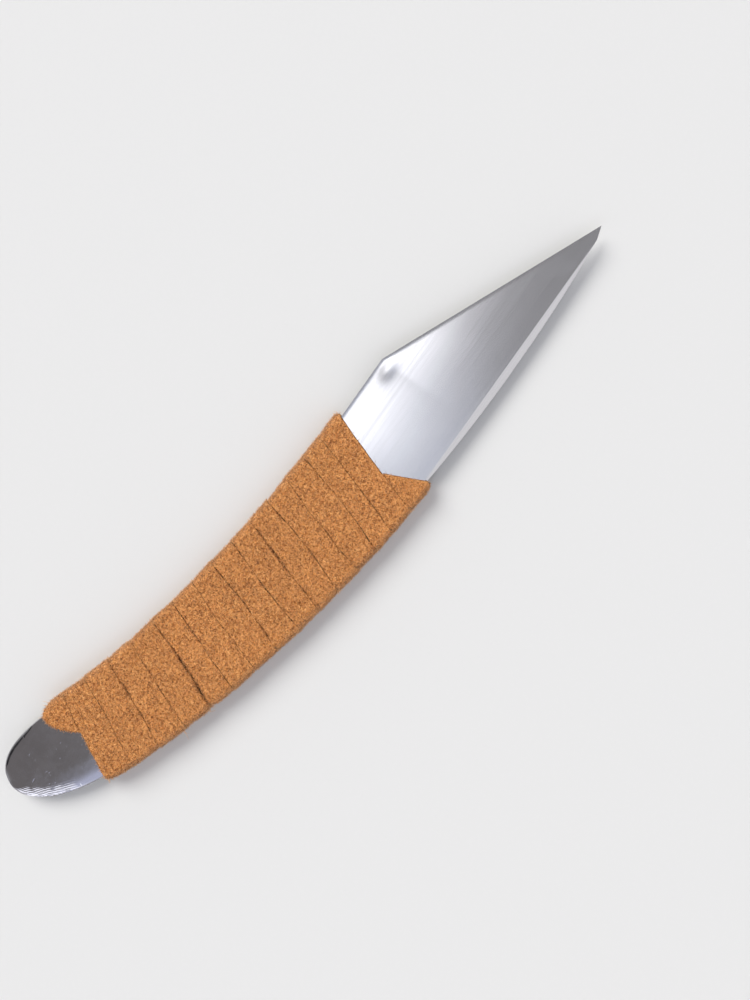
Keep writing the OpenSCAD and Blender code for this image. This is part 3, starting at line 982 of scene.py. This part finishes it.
def make_nap(strip, wrap, material, layer):
    """One layer of the suede's raised fibres, as a plain mesh that stays above the floor."""
    fibre = make_fibre("one_fibre")
    tree, density, fibre_length, seed = nap_tree(fibre, material)
    carrier = show("nap_carrier", strip.data)
    modifier = carrier.modifiers.new("fibres", "NODES")
    modifier.node_group = tree
    modifier[density] = wrap.nap_density
    modifier[fibre_length] = wrap.nap_length
    modifier[seed] = wrap.nap_seed + layer
    graph = bpy.context.evaluated_depsgraph_get()
    mesh = bpy.data.meshes.new_from_object(carrier.evaluated_get(graph))
    mesh.name = f"suede_nap_{layer}"
    place = np.empty(len(mesh.vertices) * 3)
    mesh.vertices.foreach_get("co", place)
    place[2::3] = np.maximum(place[2::3], 0.01 * MM)
    mesh.vertices.foreach_set("co", place)
    obj = show(mesh.name, mesh)
    for spare in (carrier, fibre):
        bpy.data.objects.remove(spare)
    return obj


# ---------------------------------------------------------------- materials


def rgba(value):
    """A colour with its alpha; a socket stays as it is."""
    return value if isinstance(value, bpy.types.NodeSocket) else (*value, 1.0)


def toned(base, factor):
    """A colour made darker or lighter."""
    return [min(1.0, c * factor) for c in base]


class Recipe:
    """A material under construction: its nodes, links and main shader."""

    def __init__(self, name):
        self.material = bpy.data.materials.new(name)
        self.material.use_nodes = True
        self.tree = self.material.node_tree
        self.shader = self.tree.nodes["Principled BSDF"]
        self.place = add_node(self.tree, "ShaderNodeTexCoord").outputs["Object"]

    def set(self, **values):
        """Sets constants on the shader; underscores stand for spaces."""
        for name, value in values.items():
            self.shader.inputs[name.replace("_", " ")].default_value = value

    def link(self, source, socket):
        """Links a value to the shader."""
        self.tree.links.new(source, self.shader.inputs[socket])

    def stretched(self, scale):
        """Object coordinates scaled by axis, per metre."""
        inputs = {"Vector": self.place, "Scale": scale}
        return add_node(self.tree, "ShaderNodeMapping", inputs).outputs[0]

    def noise(self, scale, detail=3.0, roughness=0.5, where=None, distortion=0.0):
        """Noise from 0 to 1."""
        inputs = {"Scale": scale, "Detail": detail, "Roughness": roughness, "Distortion": distortion}
        inputs["Vector"] = where or self.place
        return add_node(self.tree, "ShaderNodeTexNoise", inputs).outputs["Fac"]

    def remap(self, source, low, high, to_low=0.0, to_high=1.0, smooth=False):
        """A value moved from one range to another and held within it."""
        inputs = {"Value": source, "From Min": low, "From Max": high, "To Min": to_low, "To Max": to_high}
        kind = "SMOOTHSTEP" if smooth else "LINEAR"
        return add_node(self.tree, "ShaderNodeMapRange", inputs, interpolation_type=kind).outputs[0]

    def math(self, operation, a, b=0.0):
        """A sum on one or two values."""
        return add_node(self.tree, "ShaderNodeMath", {0: a, 1: b}, operation=operation).outputs[0]

    def mix(self, share_in, a, b):
        """A colour between two colours."""
        inputs = {0: share_in, 6: rgba(a), 7: rgba(b)}
        return add_node(self.tree, "ShaderNodeMix", inputs, data_type="RGBA").outputs[2]

    def tint(self, tone, tint, source, low, high, most=1.0):
        """A tone that moves towards a tint as a value goes through a range."""
        return self.mix(self.remap(source, low, high, 0.0, most), tone, tint)

    def attribute(self, name):
        """A number that the mesh holds."""
        return add_node(self.tree, "ShaderNodeAttribute", attribute_name=name).outputs["Fac"]

    def bump(self, height, distance, under=None):
        """Fine relief, on top of other relief if that is given."""
        inputs = {"Height": height, "Distance": distance, "Strength": 1.0}
        if under is not None:
            inputs["Normal"] = under
        return add_node(self.tree, "ShaderNodeBump", inputs).outputs[0]


def under_wrap(steel, tone, rough, finish):
    """Dulls the steel with a film of dried glue where the suede hides it."""
    hidden = steel.attribute("hidden")
    steel.link(steel.mix(hidden, tone, finish.glue_colour), "Base Color")
    steel.link(steel.math("SUBTRACT", 1.0, hidden), "Metallic")
    glue_rough = steel.math("MULTIPLY", hidden, 0.85)
    steel.link(steel.math("MAXIMUM", rough, glue_rough), "Roughness")


def hard_steel_material(finish):
    """Steel ground lengthwise to a satin shine: very fine long scratches, soft cloudy variation."""
    base = finish.hard_colour
    steel = Recipe("ground_hard_steel")
    lines = steel.noise(1.0, 3.0, 0.6, where=steel.stretched((24, 4200, 24)))
    broad = steel.noise(1.0, 3.0, 0.55, where=steel.stretched((15, 1300, 15)))
    cloud = steel.noise(130, 3.0)
    tone = steel.tint(toned(base, 0.96), base, cloud, 0.35, 0.65)
    tone = steel.tint(tone, toned(base, 1.06), broad, 0.35, 0.65, 0.5)
    tone = steel.tint(tone, toned(base, 0.94), lines, 0.35, 0.65, 0.5)
    under_wrap(steel, tone, steel.remap(broad, 0.3, 0.7, 0.16, 0.2), finish)
    scratched = steel.bump(lines, 0.0002 * MM)
    steel.link(steel.bump(broad, 0.0007 * MM, under=scratched), "Normal")
    return steel.material


def butt_relief_map(iron):
    """Height of the ripples and small dents that the polishing wheel left on the butt."""
    along, rim, side = (iron.attribute(name) for name in ("along", "rim", "side"))
    spot = add_node(iron.tree, "ShaderNodeSeparateXYZ", {0: iron.place})
    # The ripples run nearly straight across the border: radians per metre along each axis.
    bend = iron.math("MULTIPLY", iron.noise(260, 2.0), 9.0)
    phase = iron.math("ADD", iron.math("MULTIPLY", spot.outputs["X"], 13200.0), bend)
    phase = iron.math("ADD", phase, iron.math("MULTIPLY", spot.outputs["Y"], 5200.0))
    ripple = iron.math("SINE", phase)
    border = iron.remap(rim, 1.6 * MM, 3.4 * MM, 1.0, 0.0, smooth=True)
    spine_side = iron.remap(side, 0.6, 0.78, smooth=True)
    begins = iron.remap(along, 107 * MM, 109.5 * MM)
    ends = iron.remap(along, 120 * MM, 118 * MM)
    patchy = iron.remap(iron.noise(520, 2.0), 0.35, 0.6, 0.2, 1.0)
    for mask in (border, spine_side, begins, ends, patchy):
        ripple = iron.math("MULTIPLY", ripple, mask)
    dents = iron.remap(iron.noise(800, 1.0), 0.70, 0.80)
    return iron.math("MULTIPLY", iron.math("SUBTRACT", ripple, dents), 1.4)


def iron_material(finish):
    """Soft iron: ground on the blade's back, brightly polished on the butt with a rippled border."""
    base = finish.iron_colour
    iron = Recipe("polished_iron")
    # The finish changes where the wrap hides it.
    on_butt = iron.remap(iron.attribute("along"), 85 * MM, 95 * MM)
    lines = iron.noise(1.0, 4.0, 0.6, where=iron.stretched((100, 7000, 100)))
    cloud = iron.noise(160, 4.0, 0.6)
    smear = iron.noise(420, 3.0, 0.6, distortion=1.2)
    ground = iron.remap(lines, 0.3, 0.7, 0.24, 0.38)
    polished = iron.remap(smear, 0.35, 0.75, 0.08, 0.17)
    rough = add_node(iron.tree, "ShaderNodeMix", {0: on_butt, 2: ground, 3: polished})
    tone = iron.tint(toned(base, 0.9), base, cloud, 0.35, 0.7)
    under_wrap(iron, tone, rough.outputs[0], finish)
    soft = iron.bump(iron.noise(190, 2.0), 0.02 * MM)
    scratched = iron.bump(lines, 0.0005 * MM, under=soft)
    iron.link(iron.bump(butt_relief_map(iron), 0.012 * MM, under=scratched), "Normal")
    return iron.material


def nap_pits(recipe):
    """The pattern of fine pits that the suede and its fibres share."""
    return recipe.noise(2100, 2.0, 0.55, distortion=1.2)


def suede_material(finish):
    """Suede: mottled nap with light fibres and painted shade in its pits; the cut edges are darkened by
    glue stain and painted shade.
    """
    base, pit_shade, light = finish.suede_colour, finish.suede_pit_shade, finish.suede_light
    suede = Recipe("tan_suede")
    suede.set(
        Roughness=0.92, Specular_IOR_Level=0.12, Sheen_Weight=0.1, Sheen_Roughness=0.6,
        Sheen_Tint=(1.0, 0.78, 0.55, 1.0),
    )
    patches = suede.noise(60, 3.0, 0.55)
    mottle = suede.noise(1200, 3.0, 0.6, distortion=0.8)
    grain = suede.noise(2500, 3.0, 0.65, distortion=1.6)
    pits = nap_pits(suede)
    tone = suede.tint(toned(base, 0.9), toned(base, 1.05), patches, 0.3, 0.7)
    tone = suede.tint(tone, light, mottle, 0.42, 0.66, 0.45)
    tone = suede.tint(tone, light, grain, 0.49, 0.62, 0.85)
    # Painted shade: the pit colour darkens the low spots of the grain and the pits.
    tone = suede.tint(tone, pit_shade, grain, 0.48, 0.36, 0.6)
    tone = suede.tint(tone, pit_shade, pits, 0.48, 0.36, 0.95)
    # Glue stain and painted shade on the cut edges.
    tone = suede.mix(suede.attribute("cut"), tone, finish.suede_cut_stain_and_shade)
    # Painted rim light: paler where the suede faces aside.
    rim_light_share = suede.math("MULTIPLY", suede.attribute("rimward"), 0.12)
    suede.link(suede.mix(rim_light_share, tone, finish.suede_rim_light), "Base Color")
    coarse = suede.bump(mottle, 0.2 * MM)
    fine = suede.bump(grain, 0.14 * MM, under=coarse)
    suede.link(suede.bump(pits, 0.2 * MM, under=fine), "Normal")
    return suede.material


def fibre_material(finish):
    """The raised fibres, from dark to light, with painted shade over the pits and painted highlights
    between them.
    """
    base, pit_shade, light = finish.suede_colour, finish.suede_pit_shade, finish.suede_light
    fibres = Recipe("suede_fibres")
    fibres.set(Roughness=0.85, Specular_IOR_Level=0.1, Sheen_Weight=0.15, Sheen_Roughness=0.5)
    own, pits = fibres.attribute("tone"), nap_pits(fibres)
    tone = fibres.tint(toned(base, 0.5), base, own, 0.0, 0.5)
    tone = fibres.tint(tone, light, own, 0.45, 1.0)
    # Painted shade over the pits, and a painted highlight on the nap between them.
    tone = fibres.tint(tone, pit_shade, pits, 0.49, 0.37, 0.9)
    tone = fibres.tint(tone, light, pits, 0.52, 0.62, 0.7)
    # Painted rim light: paler where the fibres face aside.
    rim_light_share = fibres.math("MULTIPLY", fibres.attribute("rimward"), 0.3)
    fibres.link(fibres.mix(rim_light_share, tone, finish.fibre_rim_light), "Base Color")
    return fibres.material


def floor_material(finish):
    """Plain pale floor with the faintest grain."""
    base = finish.floor_colour
    floor = Recipe("pale_floor")
    floor.set(Roughness=0.8, Specular_IOR_Level=0.2)
    floor.link(floor.mix(floor.noise(900, 2.0), toned(base, 0.985), base), "Base Color")
    return floor.material


# ---------------------------------------------------------------- stage


# The camera looks straight down; the picture's upper edge is turned from the blade's axis.
PICTURE_HEIGHT = 240 * MM
CAMERA_HEIGHT = 262 * MM
VIEW_FROM_TIP = (-85.2 * MM, 6.3 * MM)
VIEW_TURN = radians(-54.7)
SENSOR = 36.0


def place_camera(plan):
    """Sets the camera straight above the knife."""
    data = bpy.data.cameras.new("camera")
    camera = show("camera", data)
    data.sensor_width = SENSOR
    data.lens = SENSOR * CAMERA_HEIGHT / PICTURE_HEIGHT
    data.clip_start = 0.01
    place = plan.tip + VIEW_FROM_TIP
    camera.location = (place[0], place[1], FACE_Z + CAMERA_HEIGHT)
    camera.rotation_euler = (0.0, 0.0, VIEW_TURN)
    bpy.context.scene.camera = camera


def place_lamp(name, towards, strength, spread, tint):
    """A soft lamp in one direction, so far away that it lights the whole floor evenly.

    Its spread is how wide it looks from the knife, in degrees.
    """
    data = bpy.data.lights.new(name, "SUN")
    data.energy = strength
    data.angle = radians(spread)
    data.color = tint
    lamp = show(name, data)
    lamp.location = towards
    lamp.rotation_euler = (-Vector(towards)).to_track_quat("-Z", "Y").to_euler()


# The studio's bright panels and dark openings: direction, inner and outer angle in degrees, and
# colour. Each one lies over those before it.
STUDIO_PATCHES = (
    ((0.0, -0.88, 0.47), 24, 50, (1.0, 1.0, 1.03)),
    ((-0.85, 0.10, 0.50), 8, 20, (0.7, 0.7, 0.76)),
    ((-0.40, -0.27, 0.87), 8, 19.5, (0.8, 0.85, 1.1)),
    ((-0.70, -0.15, 0.69), 7, 15, (2.2, 2.25, 2.5)),
    ((0.02, 0.04, 0.999), 3, 8, (0.74, 0.80, 0.94)),
    ((0.060, -0.053, 0.996), 2.3, 4.5, (3.9, 3.95, 4.1)),
    ((-0.43, 0.25, 0.87), 9, 20, (0.25, 0.235, 0.24)),
    ((-0.47, 0.52, 0.71), 8, 16, (0.03, 0.03, 0.035)),
)
HORIZON_COLOUR, SKY_COLOUR = (0.78, 0.78, 0.79), (0.37, 0.37, 0.385)


def make_world():
    """Soft studio surroundings: pale near the horizon, greyer above, with the studio's patches."""
    world = bpy.data.worlds.new("studio")
    bpy.context.scene.world = world
    world.use_nodes = True
    tree = world.node_tree
    towards = add_node(tree, "ShaderNodeTexCoord").outputs["Generated"]

    def fade(source, low, high):
        """0 below a range, 1 above it and smooth in between."""
        inputs = {"Value": source, "From Min": low, "From Max": high}
        return add_node(tree, "ShaderNodeMapRange", inputs, interpolation_type="SMOOTHSTEP").outputs[0]

    def blend(share_in, a, b):
        """A colour between two colours, which may be brighter than white."""
        inputs = {0: share_in, 6: rgba(a), 7: rgba(b)}
        settings = {"data_type": "RGBA", "clamp_result": False}
        return add_node(tree, "ShaderNodeMix", inputs, **settings).outputs[2]

    height = add_node(tree, "ShaderNodeSeparateXYZ", {0: towards}).outputs["Z"]
    colour_now = blend(fade(height, 0.12, 0.45), HORIZON_COLOUR, SKY_COLOUR)
    for direction, inner, outer, patch in STUDIO_PATCHES:
        middle = Vector(direction).normalized()
        dot = add_node(tree, "ShaderNodeVectorMath", {0: towards, 1: middle}, operation="DOT_PRODUCT")
        inside = fade(dot.outputs["Value"], cos(radians(outer)), cos(radians(inner)))
        colour_now = blend(inside, colour_now, patch)
    back = tree.nodes["Background"]
    tree.links.new(colour_now, back.inputs["Color"])
    back.inputs["Strength"].default_value = 1.0


# ---------------------------------------------------------------- operators


def knife_plans(context):
    """The bar's plan and the wrap's, from the sizes in the scene."""
    scene = context.scene
    plan = BarPlan(scene.knife_bar, scene.knife_blade)
    return plan, WrapPlan(plan, scene.knife_wrap)


class KnifeIronBody(Operator):
    """Make the soft iron bar: the blade's back, the tang and the butt"""

    bl_idname = "knife.iron_body"
    bl_label = "Iron body"

    def execute(self, context):
        bar = make_iron_body(*knife_plans(context))
        bar.data.materials.append(iron_material(context.scene.knife_finish))
        settle(bar, "iron_body")
        return {"FINISHED"}


class KnifeHardSteel(Operator):
    """Make the hard steel layer welded to the blade's flat face"""

    bl_idname = "knife.hard_steel"
    bl_label = "Hard steel"

    def execute(self, context):
        layer = make_hard_steel(*knife_plans(context))
        layer.data.materials.append(hard_steel_material(context.scene.knife_finish))
        settle(layer, "hard_steel")
        return {"FINISHED"}


class KnifeSuede(Operator):
    """Wind the suede strip round the tang and raise its nap"""

    bl_idname = "knife.suede"
    bl_label = "Suede strip"

    def execute(self, context):
        scene = context.scene
        plan, winding = knife_plans(context)
        strip = make_suede_strip(winding)
        strip.data.materials.append(suede_material(scene.knife_finish))
        paint = fibre_material(scene.knife_finish)
        for layer in range(scene.knife_wrap.nap_layers):
            nap = make_nap(strip, scene.knife_wrap, paint, layer)
            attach(nap, "root")
        threads = make_threads(plan, winding)
        threads.data.materials.append(paint)
        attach(threads, "root")
        settle(strip, "leather_strip")
        return {"FINISHED"}


class KnifeStage(Operator):
    """Set up the floor, the lamp, the surroundings and the camera"""

    bl_idname = "knife.stage"
    bl_label = "Stage"

    def execute(self, context):
        scene = context.scene
        mesh = bpy.data.meshes.new("floor")
        # The floor reaches so far that its edge lies near the horizon.
        half = 6.0
        corners = [(-half, -half, 0), (half, -half, 0), (half, half, 0), (-half, half, 0)]
        mesh.from_pydata(corners, [], [(0, 1, 2, 3)])
        mesh.materials.append(floor_material(scene.knife_finish))
        floor = show("floor", mesh)
        place_camera(knife_plans(context)[0])
        make_world()
        warm_white = (1.0, 0.985, 0.96)
        place_lamp("key_lamp", (0.2, 1.3, 1.25), strength=2.75, spread=38.0, tint=warm_white)
        scene.view_settings.view_transform = "Standard"
        return {"FINISHED"}


class KnifePanel(Panel):
    """Lists the knife's pieces and their sizes"""

    bl_idname = "VIEW3D_PT_knife"
    bl_label = "Carving Knife"
    bl_space_type = "VIEW_3D"
    bl_region_type = "UI"
    bl_category = "Knife"

    def draw(self, context):
        for operator in OPERATORS:
            self.layout.operator(operator.bl_idname)
        for group in GROUPS:
            box = self.layout.box()
            box.label(text=group.replace("knife_", "").capitalize())
            values = getattr(context.scene, group)
            for name in values.bl_rna.properties.keys():
                if name not in ("rna_type", "name"):
                    box.prop(values, name)


GROUPS = {
    "knife_bar": KnifeBarSizes,
    "knife_blade": KnifeBladeSizes,
    "knife_wrap": KnifeWrapSizes,
    "knife_finish": KnifeFinish,
}
OPERATORS = (KnifeIronBody, KnifeHardSteel, KnifeSuede, KnifeStage)


def register():
    """Registers the classes and hangs the sizes and colours on the scene."""
    for group in GROUPS.values():
        bpy.utils.register_class(group)
    for cls in (*OPERATORS, KnifePanel):
        bpy.utils.register_class(cls)
    for name, group in GROUPS.items():
        setattr(bpy.types.Scene, name, PointerProperty(type=group))


def unregister():
    """Undoes what register did."""
    for name in GROUPS:
        delattr(bpy.types.Scene, name)
    for cls in (KnifePanel, *OPERATORS, *GROUPS.values()):
        bpy.utils.unregister_class(cls)


def main():
    """Builds all pieces and the stage."""
    register()
    bpy.ops.knife.iron_body()
    bpy.ops.knife.hard_steel()
    bpy.ops.knife.suede()
    bpy.ops.knife.stage()


if __name__ == "__main__":
    main()
